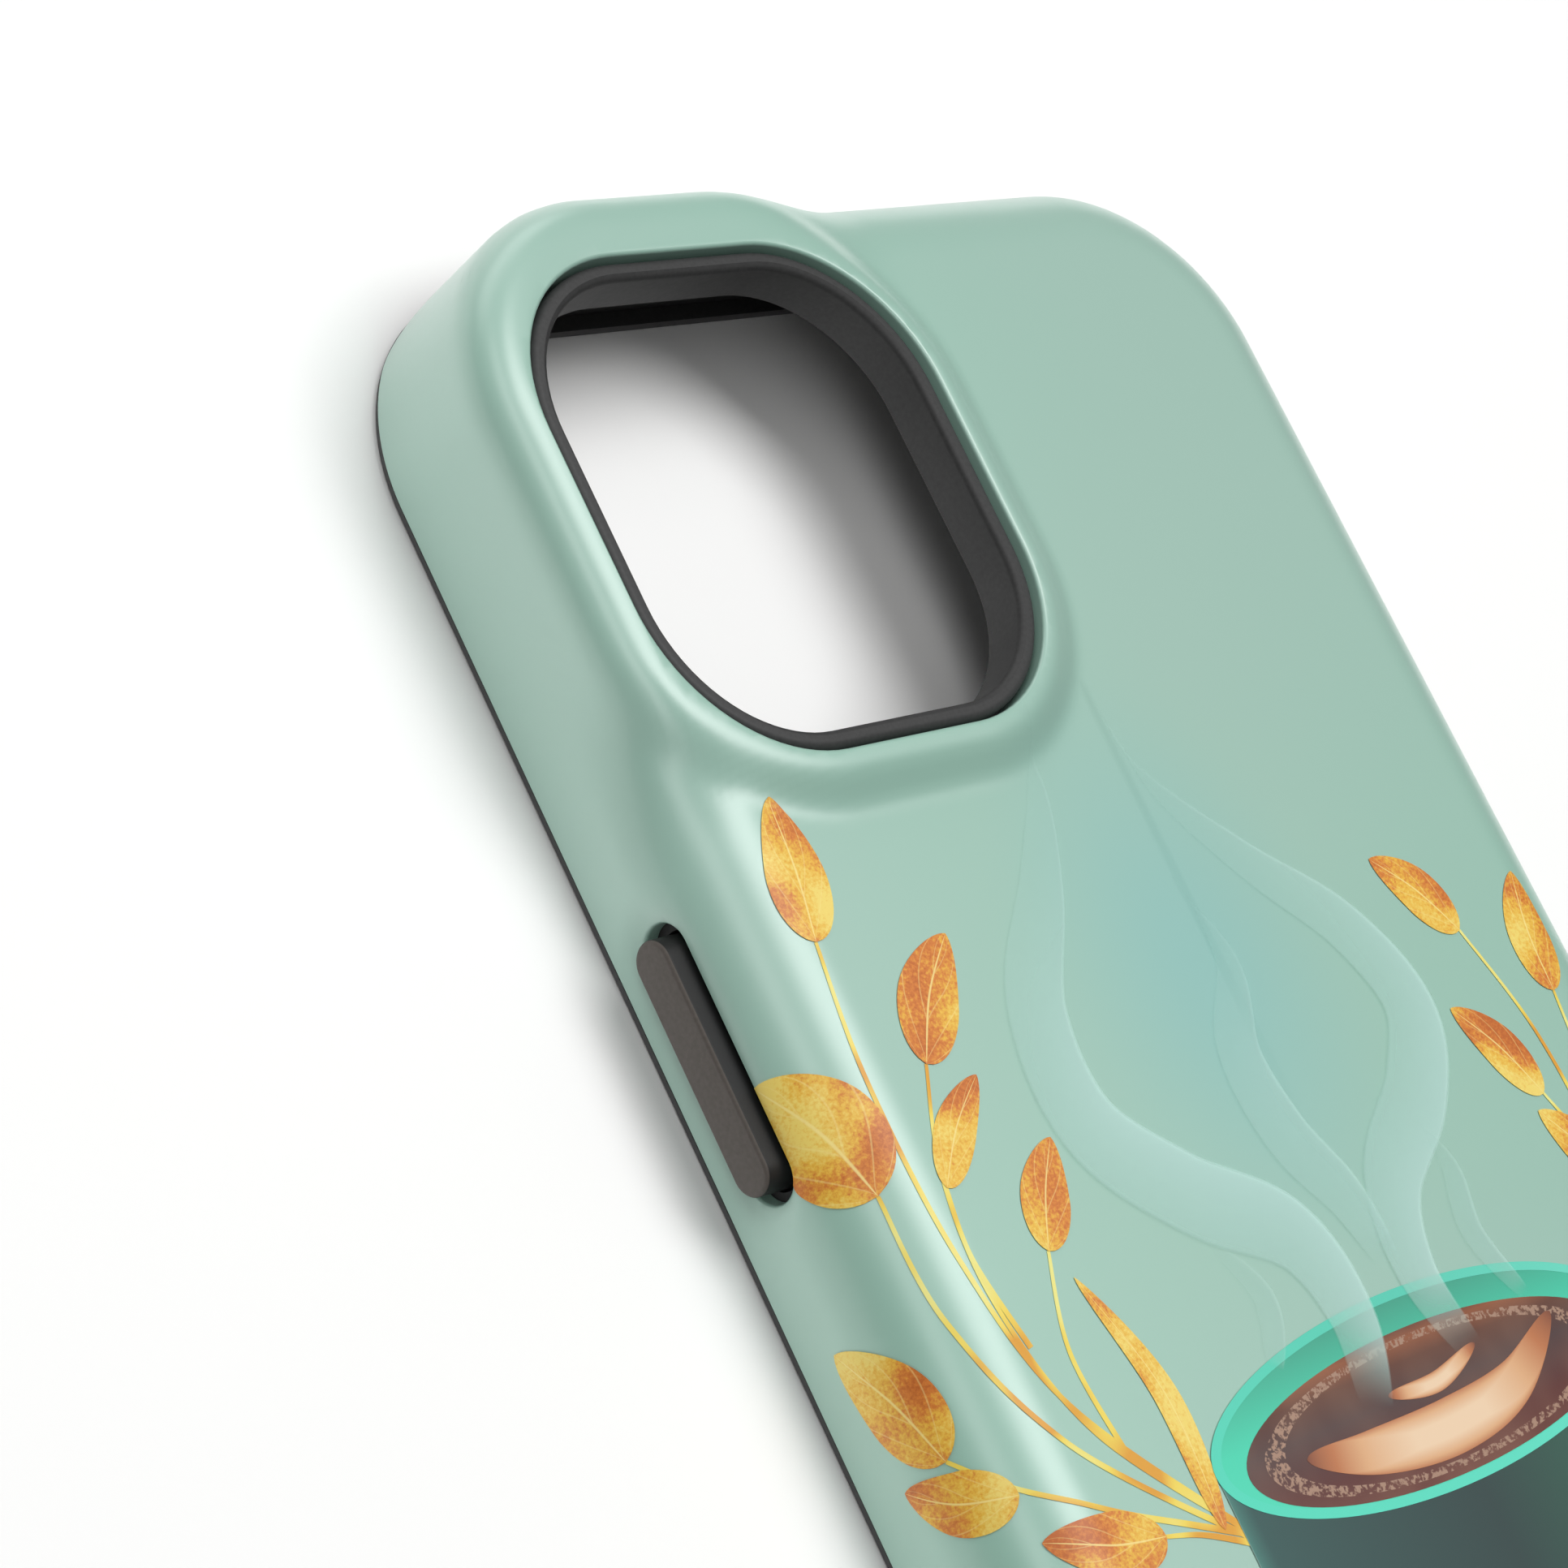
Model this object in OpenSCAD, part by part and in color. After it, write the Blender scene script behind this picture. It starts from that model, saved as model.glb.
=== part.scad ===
// Two-part protective phone case: a hard outer shell over a soft liner, with three push buttons.
// The case lies face down. Its open front is the plane z = 0, its back faces +Z, and +Y points
// to the top end of the phone. The side button is on -X, the volume buttons are on +X.

/* [Phone that the case fits] */
// Width of the phone
phone_w = 71.6; // [60:0.1:86]
// Length of the phone
phone_l = 147.6; // [123:0.1:178]
// Thickness of the phone without its camera plateau
phone_t = 7.8; // [7.2:0.1:10]
// Corner radius of the phone in plan
phone_corner_r = 12.3; // [9:0.1:15]
// Rounding of the phone's back edges
phone_edge_r = 3; // [2:0.1:3.4]

/* [Soft liner] */
// Play between the phone and the liner
phone_gap = 0.1; // [0.05:0.05:0.3]
// Thickness of the liner's side walls
liner_wall = 1.5; // [1.3:0.1:2.2]
// Thickness of the liner behind the phone
liner_back = 1.0; // [0.8:0.1:2]
// Rounding of the liner's outer back edge
liner_edge_r = 4.9; // [4:0.1:5.2]
// Height of the lip in front of the phone's glass
lip_h = 1.0; // [0.8:0.1:2]
// Reach of the lip in over the phone's glass
lip_reach = 1.2; // [0.5:0.1:2]
// Height of the liner's flange that shows below the shell along the long sides
flange_h = 0.6; // [0.4:0.1:0.8]
// Step from the shell's outer face in to the liner's flange
flange_step = 0.15; // [0.05:0.05:0.4]

/* [Hard shell] */
// Thickness of the shell's side walls
shell_wall = 1.5; // [1.2:0.1:2.5]
// Thickness of the shell's back
shell_back = 1.3; // [1:0.1:2.5]
// Rounding of the shell's outer back edge
shell_edge_r = 6.5; // [5.5:0.1:7]
// Gap between the shell and the liner
fit_gap = 0.1; // [0.05:0.05:0.2]
// Gap along the seam where the shell's front edge meets the liner
seam_gap = 0.2; // [0.1:0.05:0.4]

/* [Seam at the two ends] */
// Height of the seam at its crest near each corner
crest_z = 5.8; // [4:0.1:7]
// Distance of the crest in from the long side
crest_inset = 12; // [9:0.5:15]
// Distance in from the long side where the seam starts to rise
rise_inset = 3.5; // [2:0.5:6]
// Height of the seam between the two crests
saddle_z = 3.4; // [2:0.1:5]
// Distance of the saddle's end in from the long side
saddle_inset = 21; // [18:0.5:26]

/* [Camera opening] */
// Width of the opening in the shell
cam_w = 35.3; // [26:0.1:38]
// Length of the opening in the shell
cam_l = 35.5; // [26:0.1:38]
// Corner radius of the opening
cam_r = 11.6; // [8:0.1:12.5]
// Distance of the opening in from the shell's long side
cam_side = 3.0; // [3:0.1:6]
// Distance of the opening in from the shell's top end
cam_top = 5.4; // [4.5:0.1:8]
// Height of the raised rim above the flat back
rim_h = 1.5; // [1:0.1:2.5]
// Width of the flat top of the raised rim
rim_w = 0.7; // [0.5:0.1:1.5]
// Run of the slope from the rim down to the flat back
rim_slope = 2.8; // [1.5:0.1:4]
// Rounding of the raised rim where it meets the case's sides
rim_edge_r = 3.0; // [2:0.1:3.5]
// Thickness of the liner's ring inside the opening
ring_wall = 1.3; // [1:0.1:2]
// Gap between the liner's ring and the shell
ring_gap = 0.25; // [0.15:0.05:0.4]
// Step from the shell's rim down to the top of the liner's ring
ring_step = 0.4; // [0.2:0.1:1]

/* [Buttons] */
// Width of a button's face
button_w = 3.1; // [2.6:0.1:3.8]
// Length of the side button's face
side_button_l = 16.8; // [12:0.1:20]
// Length of a volume button's face
volume_button_l = 9.4; // [7.8:0.1:10.6]
// Distance of the side button's centre from the phone's top end
side_button_top = 52.8; // [48:0.1:60]
// Distance of the volume up button's centre from the phone's top end
volume_up_top = 46.2; // [45:0.1:50]
// Distance between the centres of the two volume buttons
volume_pitch = 12.4; // [12.3:0.1:15]
// Height of a button's face above the shell's side
button_proud = 1.0; // [0.6:0.1:1.4]
// Clearance round a button in the liner
button_gap = 0.2; // [0.15:0.05:0.3]
// Extra clearance round a button in the shell's slot, across its width
slot_side_gap = 0.3; // [0.2:0.05:0.5]
// Clearance at each end of a button in the shell's slot
slot_end_gap = 0.8; // [0.4:0.1:1]
// Width of a button's inner flange beyond its face
button_flange = 0.7; // [0.5:0.1:0.9]
// Thickness of a button's inner flange
button_flange_t = 0.6; // [0.4:0.05:0.7]
// Depth of the dish round each slot
dish_depth = 0.5; // [0.3:0.1:0.8]
// Width of the dish beyond the slot
dish_w = 1.2; // [0.8:0.1:1.4]

/* [Ring switch cut-out] */
// Distance of the cut-out's centre from the phone's top end
switch_top = 33.4; // [28:0.1:34]
// Length of the cut-out
switch_l = 10.4; // [8:0.1:11]
// Width of the cut-out
switch_w = 6.2; // [5:0.1:6.6]
// Corner radius of the cut-out
switch_r = 1.3; // [0.8:0.1:2]
// Depth of the recess round the cut-out
recess_depth = 0.7; // [0.4:0.1:0.9]
// Width of the recess beyond the cut-out
recess_w = 1.6; // [1:0.1:1.8]

/* [Openings in the bottom end] */
// Length of the charging port's opening
port_l = 13.4; // [11:0.1:16]
// Height of the charging port's opening
port_h = 6.2; // [5:0.1:6.6]
// Length of the speaker and microphone slots
sound_l = 12.6; // [8:0.1:14]
// Height of the speaker and microphone slots
sound_h = 2.4; // [1.6:0.1:3]
// Distance of the sound slots' centres from the middle
sound_x = 18.2; // [16:0.1:20]

/* [Hidden] */
$fn = 96;

// Amount by which a cut runs past the face that it opens
past = 1;

// Plan sizes of the pocket, the liner, the shell's inside and the whole case, from the phone out
pocket_w = phone_w + 2 * phone_gap;
pocket_l = phone_l + 2 * phone_gap;
pocket_corner_r = phone_corner_r + phone_gap;
liner_w = pocket_w + 2 * liner_wall;
liner_l = pocket_l + 2 * liner_wall;
liner_corner_r = pocket_corner_r + liner_wall;
cavity_w = liner_w + 2 * fit_gap;
cavity_l = liner_l + 2 * fit_gap;
cavity_corner_r = liner_corner_r + fit_gap;
case_w = cavity_w + 2 * shell_wall;
case_l = cavity_l + 2 * shell_wall;
case_corner_r = cavity_corner_r + shell_wall;

// Heights, from the front lip up to the camera rim
pocket_z = lip_h + phone_t;
liner_z = pocket_z + liner_back;
cavity_z = liner_z + fit_gap;
back_z = cavity_z + shell_back;
rim_z = back_z + rim_h;
ring_z = rim_z - ring_step;
middle_z = lip_h + phone_t / 2;
edge_z = back_z - shell_edge_r;
cavity_edge_r = liner_edge_r + fit_gap;

// Camera opening: its centre, and the liner's ring inside it
cam_x = -case_w / 2 + cam_side + cam_w / 2;
cam_y = case_l / 2 - cam_top - cam_l / 2;
ring_inset = ring_gap + ring_wall;

// Places along the sides, measured from the phone's top end
side_button_y = phone_l / 2 - side_button_top;
volume_up_y = phone_l / 2 - volume_up_top;
volume_down_y = volume_up_y - volume_pitch;
switch_y = phone_l / 2 - switch_top;

// Across the +X side, from the pocket out. The buttons on -X are mirror images of these.
flange_in_x = pocket_w / 2 + phone_gap;
flange_out_x = flange_in_x + button_flange_t;
relief_x = flange_out_x + phone_gap;
face_x = case_w / 2 + button_proud;
button_round = 0.3;

// Half profile of a slab from its middle out to reach, with its upper outer edge rounded
module edge_profile(reach, z0, z1, edge_r) {
    translate([0, z0]) square([reach - edge_r, z1 - z0]);
    translate([0, z0]) square([reach, z1 - edge_r - z0]);
    translate([reach - edge_r, z1 - edge_r]) intersection() {
        circle(edge_r);
        square(edge_r);
    }
}

// Slab with round corners in plan and a rounded upper edge
module slab(w, l, z0, z1, corner_r, edge_r) {
    rotate([90, 0, 0]) linear_extrude(l - 2 * corner_r, center = true) {
        edge_profile(w / 2, z0, z1, edge_r);
        mirror([1, 0]) edge_profile(w / 2, z0, z1, edge_r);
    }
    for (end = [0, 1]) mirror([0, end, 0]) {
        translate([0, l / 2 - corner_r, 0]) rotate([90, 0, 90])
            linear_extrude(w - 2 * corner_r, center = true) edge_profile(corner_r, z0, z1, edge_r);
        for (side = [0, 1]) mirror([side, 0, 0])
            translate([w / 2 - corner_r, l / 2 - corner_r, 0])
                rotate_extrude(angle = 90) edge_profile(corner_r, z0, z1, edge_r);
    }
}

// Upright block with round corners in plan, wider at its foot by flare on every side
module block(w, l, z0, z1, corner_r, flare = 0) {
    rotate([90, 0, 0]) linear_extrude(l - 2 * corner_r, center = true)
        polygon([[-w / 2 - flare, z0], [w / 2 + flare, z0], [w / 2, z1], [-w / 2, z1]]);
    rotate([90, 0, 90]) linear_extrude(w - 2 * corner_r, center = true)
        polygon([[-l / 2 - flare, z0], [l / 2 + flare, z0], [l / 2, z1], [-l / 2, z1]]);
    for (x = [-1, 1], y = [-1, 1])
        translate([x * (w / 2 - corner_r), y * (l / 2 - corner_r), z0])
            cylinder(h = z1 - z0, r1 = corner_r + flare, r2 = corner_r);
}

// Pill along Y that runs across the +X wall from x0 to x1, wider at x1 by flare on every side
module pill(l, w, x0, x1, flare = 0) {
    run = l - w;
    rotate([90, 0, 0]) linear_extrude(run, center = true)
        polygon([[x0, -w / 2], [x1, -w / 2 - flare], [x1, w / 2 + flare], [x0, w / 2]]);
    for (end = [-1, 1]) translate([x0, end * run / 2, 0]) rotate([0, 90, 0])
        cylinder(h = x1 - x0, d1 = w, d2 = w + 2 * flare);
}

// Window with round corners across the +X wall from x0 to x1
module window(l, w, corner_r, x0, x1, flare = 0) {
    translate([x0, 0, 0]) rotate([0, 90, 0])
        translate([0, 0, x1 - x0]) mirror([0, 0, 1]) block(w, l, 0, x1 - x0, corner_r, flare);
}

// Region under a soft step from height z0 at x0 up to height z1 at x1, made of two equal arcs
module soft_step(x0, z0, x1, z1) {
    arc_r = (pow(x1 - x0, 2) + pow(z1 - z0, 2)) / (4 * (z1 - z0));
    mid_x = (x0 + x1) / 2;
    mid_z = (z0 + z1) / 2;
    step_w = abs(x1 - x0) / 2;
    translate([min(mid_x, x1), -past]) square([step_w, mid_z + past]);
    intersection() {
        translate([min(mid_x, x1), mid_z]) square([step_w, z1 - mid_z]);
        translate([x1, z1 - arc_r]) circle(arc_r);
    }
    difference() {
        translate([min(x0, mid_x), -past]) square([step_w, mid_z + past]);
        translate([x0, z0 + arc_r]) circle(arc_r);
    }
}

// Region under the seam on one half of an end: low at the side, a crest, then the saddle
module seam_half(drop) {
    low_z = flange_h + seam_gap - drop;
    high_z = crest_z - drop;
    mid_z = saddle_z - drop;
    rise_x = case_w / 2 - rise_inset;
    crest_x = case_w / 2 - crest_inset;
    saddle_x = case_w / 2 - saddle_inset;
    translate([rise_x, -past]) square([rise_inset + past, low_z + past]);
    soft_step(rise_x, low_z, crest_x, high_z);
    soft_step(saddle_x, mid_z, crest_x, high_z);
    translate([0, -past]) square([saddle_x, mid_z + past]);
}

// Everything in front of the seam between the shell and the liner's visible band
module seam_zone(drop) {
    rotate([90, 0, 0]) linear_extrude(case_l + 2 * past, center = true) {
        seam_half(drop);
        mirror([1, 0]) seam_half(drop);
    }
}

// Camera opening or ring outline, inset from the shell's opening on every side
module camera_block(inset, z0, z1, flare = 0) {
    translate([cam_x, cam_y, 0])
        block(cam_w - 2 * inset, cam_l - 2 * inset, z0, z1, cam_r - inset, flare);
}

// Cuts through the +X side wall for the ring switch
module switch_cut() {
    translate([0, switch_y, middle_z])
        window(switch_l, switch_w, switch_r, pocket_w / 2 - past, case_w / 2 + past);
}

// Cuts through the bottom end for the charging port, the speaker and the microphone
module port_cuts() {
    translate([0, 0, middle_z]) rotate([0, 0, -90]) {
        pill(port_l, port_h, pocket_l / 2 - past, case_l / 2 + past);
        for (x = [-1, 1]) translate([0, x * sound_x, 0])
            pill(sound_l, sound_h, pocket_l / 2 - past, case_l / 2 + past);
    }
}

// Slot and dish in the shell's +X wall round a button
module shell_slot(face_l) {
    slot_l = face_l + 2 * slot_end_gap;
    slot_w = button_w + 2 * slot_side_gap;
    pill(slot_l, slot_w, cavity_w / 2 - past, case_w / 2 + past);
    pill(slot_l, slot_w, case_w / 2 - dish_depth, case_w / 2, dish_w);
}

// Hole in the liner's +X wall for a button, with a relief for the button's inner flange
module liner_slot(face_l) {
    hole_l = face_l + 2 * button_gap;
    hole_w = button_w + 2 * button_gap;
    pill(hole_l, hole_w, pocket_w / 2 - past, case_w / 2);
    pill(hole_l + 2 * button_flange, hole_w + 2 * button_flange, pocket_w / 2 - past, relief_x);
}

// One button: an inner flange that keeps it in the liner, and a stem with a softened face
module button(face_l) {
    pill(face_l + 2 * button_flange, button_w + 2 * button_flange, flange_in_x, flange_out_x);
    pill(face_l, button_w, flange_out_x, face_x - button_round);
    pill(face_l, button_w, face_x - button_round, face_x, -button_round);
}

// Places a child on every button's centre: the first on -X, the others on +X
module at_side_button() {
    translate([0, side_button_y, middle_z]) mirror([1, 0, 0]) children();
}
module at_volume_up() {
    translate([0, volume_up_y, middle_z]) children();
}
module at_volume_down() {
    translate([0, volume_down_y, middle_z]) children();
}

// Hard shell over the back and the sides, with the raised camera rim
module outer_shell() {
    color("#a9c4b9") difference() {
        union() {
            slab(case_w, case_l, 0, back_z, case_corner_r, shell_edge_r);
            intersection() {
                slab(case_w, case_l, 0, rim_z, case_corner_r, rim_edge_r);
                camera_block(-rim_w, edge_z, rim_z, rim_slope * (rim_z - edge_z) / rim_h);
            }
        }
        slab(cavity_w, cavity_l, -past, cavity_z, cavity_corner_r, cavity_edge_r);
        camera_block(0, pocket_z, rim_z + past);
        seam_zone(0);
        switch_cut();
        translate([0, switch_y, middle_z])
            window(switch_l + 2 * recess_w, switch_w + 2 * recess_w, switch_r + recess_w,
                case_w / 2 - recess_depth, case_w / 2 + past);
        port_cuts();
        at_side_button() shell_slot(side_button_l);
        at_volume_up() shell_slot(volume_button_l);
        at_volume_down() shell_slot(volume_button_l);
    }
}

// Soft liner: a tray round the phone, the lip and flange in front, and the ring round the camera
module inner_liner() {
    color("#4a4a4a") difference() {
        union() {
            slab(liner_w, liner_l, 0, liner_z, liner_corner_r, liner_edge_r);
            intersection() {
                slab(case_w - 2 * flange_step, case_l - 2 * flange_step, 0, back_z - flange_step,
                    case_corner_r - flange_step, shell_edge_r - flange_step);
                seam_zone(seam_gap);
            }
            camera_block(ring_gap, pocket_z, ring_z);
        }
        slab(pocket_w, pocket_l, lip_h, pocket_z, pocket_corner_r, phone_edge_r);
        block(pocket_w - 2 * lip_reach, pocket_l - 2 * lip_reach, -past, lip_h + past,
            pocket_corner_r - lip_reach);
        camera_block(ring_inset, middle_z, ring_z + past);
        switch_cut();
        port_cuts();
        at_side_button() liner_slot(side_button_l);
        at_volume_up() liner_slot(volume_button_l);
        at_volume_down() liner_slot(volume_button_l);
    }
}

// Side button on -X
module side_button() {
    color("#57524e") at_side_button() button(side_button_l);
}

// Volume up button on +X, the one nearer the top end
module volume_up_button() {
    color("#57524e") at_volume_up() button(volume_button_l);
}

// Volume down button on +X
module volume_down_button() {
    color("#57524e") at_volume_down() button(volume_button_l);
}

outer_shell();
inner_liner();
side_button();
volume_up_button();
volume_down_button();
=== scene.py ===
import math

import bmesh
import bpy
from mathutils import Matrix, Vector


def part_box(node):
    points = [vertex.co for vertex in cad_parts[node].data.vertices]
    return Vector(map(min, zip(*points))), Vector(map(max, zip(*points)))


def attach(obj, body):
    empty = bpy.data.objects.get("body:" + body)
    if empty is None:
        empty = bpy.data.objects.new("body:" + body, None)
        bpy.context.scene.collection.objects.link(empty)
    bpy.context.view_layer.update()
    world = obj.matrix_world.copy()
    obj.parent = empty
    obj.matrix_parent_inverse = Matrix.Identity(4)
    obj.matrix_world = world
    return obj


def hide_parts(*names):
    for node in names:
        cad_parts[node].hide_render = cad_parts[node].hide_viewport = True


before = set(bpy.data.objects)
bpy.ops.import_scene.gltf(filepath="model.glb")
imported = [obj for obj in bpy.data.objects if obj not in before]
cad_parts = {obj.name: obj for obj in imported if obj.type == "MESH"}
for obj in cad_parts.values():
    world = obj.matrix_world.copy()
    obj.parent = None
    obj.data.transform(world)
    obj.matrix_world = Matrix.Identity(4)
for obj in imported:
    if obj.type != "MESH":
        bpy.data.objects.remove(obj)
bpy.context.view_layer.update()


# Outer shell. The hard half of the case: one thin-walled moulding in polycarbonate over the back and
# the sides, with a raised collar round the camera opening. It comes out of a polished tool with one
# finely grained skin, is printed in sage green on the outside, and is pressed on over the soft liner.
MM = 0.001
shell_low, shell_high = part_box("outer_shell")
half_w = shell_high.x
half_l = shell_high.y
rim_z = shell_high.z
seam_z = shell_low.z
corner_r = 15.5 * MM
edge_r = 6.5 * MM
rim_rise = 1.5 * MM
back_z = rim_z - rim_rise
rim_edge_r = 3.0 * MM
rim_w = 0.7 * MM
rim_slope = 3.4 * MM
collar_run = 15.0 * MM
collar_reach = 12.0 * MM
collar_full = 4.5 * MM
lip_r = 0.3 * MM
lip_turn = math.radians(72)
past = 2.0 * MM
cutter_foot = half_w - 4.0 * MM
sharp_angle = math.radians(32)

camera_w = 35.3 * MM
camera_l = 35.5 * MM
camera_r = 11.6 * MM
camera_side_gap = 3.0 * MM
camera_end_gap = 5.4 * MM
camera_x = -half_w + camera_side_gap + camera_w / 2
camera_y = half_l - camera_end_gap - camera_l / 2

button_boxes = [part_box(name) for name in ("side_button", "volume_up_button", "volume_down_button")]
button_flange = 0.7 * MM
middle_z = (button_boxes[0][0].z + button_boxes[0][1].z) / 2
slot_side_gap = 0.3 * MM
slot_end_gap = 0.8 * MM
slot_half_w = (button_boxes[0][1].z - button_boxes[0][0].z) / 2 - button_flange + slot_side_gap
dish_depth = 0.5 * MM
dish_w = 1.4 * MM
dish_soft = 0.16 * MM

switch_y = 40.4 * MM
switch_half_l = 5.2 * MM
switch_half_w = 3.1 * MM
switch_r = 1.3 * MM
recess_depth = 0.7 * MM
recess_w = 1.6 * MM

port_half_l = 6.7 * MM
port_half_h = 3.1 * MM
sound_half_l = 6.3 * MM
sound_half_h = 1.2 * MM
sound_x = 18.2 * MM

shell_wall = 1.5 * MM
shell_back = 1.3 * MM
cavity_half_w = half_w - shell_wall
cavity_half_l = half_l - shell_wall
cavity_r = corner_r - shell_wall
cavity_edge_r = 5.0 * MM
cavity_z = back_z - shell_back

crest_z = 5.8 * MM
crest_x = half_w - 12.0 * MM
rise_x = half_w - 3.5 * MM
saddle_z = 3.4 * MM
saddle_x = half_w - 21.0 * MM
seam_columns = 280

cell = 0.62 * MM
run_flat = back_z - edge_r + edge_r * math.pi / 2
side_cells = round(run_flat / cell)
across_cells = round((half_w - edge_r) / cell)
along_cells = round((half_l - edge_r) / cell)


def smooth(share):
    """A soft ramp from 0 to 1."""
    share = min(1.0, max(0.0, share))
    return share * share * (3 - 2 * share)


def outline(inset, across, along):
    """A point on the case's outline, moved in by inset. The larger of |across| and |along| is 1."""
    radius = max(corner_r - inset, 0.0)
    long_side = abs(across) >= abs(along)
    share = abs(along) if long_side else abs(across)
    reach = (half_l if long_side else half_w) - inset
    wall = (half_w if long_side else half_l) - inset
    straight = reach - radius
    run = share * (straight + radius * math.pi / 4)
    out, sideways = wall, run
    if run > straight:
        turn = (run - straight) / radius
        out = wall - radius + radius * math.cos(turn)
        sideways = straight + radius * math.sin(turn)
    x, y = (out, sideways) if long_side else (sideways, out)
    return math.copysign(x, across), math.copysign(y, along)


def section(run, height, radius):
    """How far in and how high the skin is, at a distance up it from the front: wall, rounded edge, flat."""
    wall = height - radius
    if run <= wall:
        return 0.0, run
    turn = (run - wall) / radius
    if turn <= math.pi / 2:
        return radius * (1 - math.cos(turn)), wall + radius * math.sin(turn)
    return radius + run - wall - radius * math.pi / 2, height


def collar_share(x, y, inset):
    """How far a place on the plain shell is raised: 1 on the camera collar, falling softly to 0."""
    side_x = max(abs(x - camera_x) - (camera_w / 2 - camera_r), 0.0)
    side_y = max(abs(y - camera_y) - (camera_l / 2 - camera_r), 0.0)
    outside = math.hypot(side_x, side_y) - camera_r
    on_back = smooth(1 - (outside - rim_w) / rim_slope)
    past_x = max(x - camera_x - camera_w / 2 + camera_r, 0.0)
    past_y = max(camera_y - camera_l / 2 + camera_r - y, 0.0)
    on_edge = smooth(1 - math.hypot(past_x, past_y) / collar_run)
    on_edge *= smooth((collar_reach - inset) / (collar_reach - collar_full))
    return 1 - (1 - on_back) * (1 - on_edge)


def raised_section(run, share):
    """The section where it blends from the plain edge to the collar's tighter and higher edge."""
    collar_flat = rim_z - rim_edge_r + rim_edge_r * math.pi / 2 + edge_r - rim_edge_r
    collar_at = run * collar_flat / run_flat if run < run_flat else collar_flat + run - run_flat
    plain = section(run, back_z, edge_r)
    raised = section(collar_at, rim_z, rim_edge_r)
    return [a + (b - a) * share for a, b in zip(plain, raised)]


def dished(side, y, z, inset):
    """The inset of a long side where the dishes round the button slots take it further in."""
    for low, high in button_boxes:
        if low.x * side < 0:
            continue
        run = (high.y - low.y) / 2 - button_flange + slot_end_gap - slot_half_w
        off_y = max(abs(y - (low.y + high.y) / 2) - run, 0.0)
        outside = math.hypot(off_y, z - middle_z) - slot_half_w
        dish = dish_depth * (1 - max(outside, -MM) / dish_w)
        inset = (inset + dish + math.hypot(inset - dish, dish_soft)) / 2 - dish_soft / 40
    return inset


def shade(mesh):
    """Smooth shading, with a sharp edge only where faces meet at more than an angle."""
    mesh.shade_smooth()
    mesh.set_sharp_from_angle(angle=sharp_angle)


def add_piece(name, bm):
    """An object made from a bmesh, which is used up."""
    mesh = bpy.data.meshes.new(name)
    for layer in bm.verts.layers.float_vector.values():
        bm.verts.layers.float_vector.remove(layer)
    bm.to_mesh(mesh)
    bm.free()
    shade(mesh)
    piece = bpy.data.objects.new(name, mesh)
    bpy.context.scene.collection.objects.link(piece)
    return piece


def tower(bm, levels, half_a, half_b, radius, place=Vector, corner_steps=10):
    """A closed solid of round-cornered rings. A level is a height and how far its ring stands out there."""
    arcs = bm.verts.layers.float_vector.get("arc") or bm.verts.layers.float_vector.new("arc")
    ring = bmesh.ops.create_circle(bm, cap_ends=True, segments=4 * (corner_steps + 1), radius=1)["verts"]
    for index, vert in enumerate(ring):
        corner, step = divmod(index, corner_steps + 1)
        vert[arcs] = (math.copysign(half_a - radius, 1 if corner in (0, 3) else -1),
                      math.copysign(half_b - radius, 1 if corner in (0, 1) else -1),
                      (corner + step / corner_steps) * math.pi / 2)
    foot = cap = None
    for height, out in levels:
        if foot:
            made = bmesh.ops.extrude_face_region(bm, geom=[cap])["geom"]
            if cap is not foot:
                bmesh.ops.delete(bm, geom=[cap], context="FACES_ONLY")
            ring = [part for part in made if isinstance(part, bmesh.types.BMVert)]
            cap = next(part for part in made if isinstance(part, bmesh.types.BMFace))
        for vert in ring:
            centre_a, centre_b, turn = vert[arcs]
            vert.co = place((centre_a + (radius + out) * math.cos(turn),
                             centre_b + (radius + out) * math.sin(turn), height))
        if not foot:
            bmesh.ops.remove_doubles(bm, verts=ring, dist=0.001 * MM)
            ring = [vert for vert in ring if vert.is_valid]
            foot = cap = ring[0].link_faces[0]
    bmesh.ops.recalc_face_normals(bm, faces=bm.faces)


def on_side(side, y, z):
    """Turns a tower on its side: its height runs out through a long wall."""
    return lambda p: Vector((side * p[2], y + p[0], z + p[1]))


def in_bottom_end(x, z):
    """Turns a tower on its side: its height runs out through the bottom end."""
    return lambda p: Vector((x + p[0], -p[2], z + p[1]))


def upright(x, y):
    """Moves an upright tower to a place in plan."""
    return lambda p: Vector((x + p[0], y + p[1], p[2]))


def rounded_mouth(bottom, surface, lean=0.0, steps=5):
    """Levels of a cutter that leaves a rounded lip where it meets a surface that may lean outwards."""
    centre = surface - lip_r * (1 - math.sin(lean)) / math.cos(lean)
    levels = [(bottom, 0.0)]
    for step in range(steps + 1):
        turn = (lip_turn - lean) * step / steps
        levels.append((centre + lip_r * math.sin(turn), lip_r * (1 - math.cos(turn))))
    height, out = levels[-1]
    clear = out + lip_r * math.tan(lip_turn - lean)
    return levels + [(height + lip_r, clear), (surface + past, clear)]


def boolean(piece, other, operation):
    """Cuts, joins or crosses a piece with another, and removes the other."""
    modifier = piece.modifiers.new(operation, "BOOLEAN")
    modifier.operation = operation
    modifier.solver = "EXACT"
    modifier.object = other
    bpy.context.view_layer.update()
    mesh = bpy.data.meshes.new_from_object(piece.evaluated_get(bpy.context.evaluated_depsgraph_get()))
    piece.modifiers.clear()
    piece.data = mesh
    bpy.data.objects.remove(other)


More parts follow.
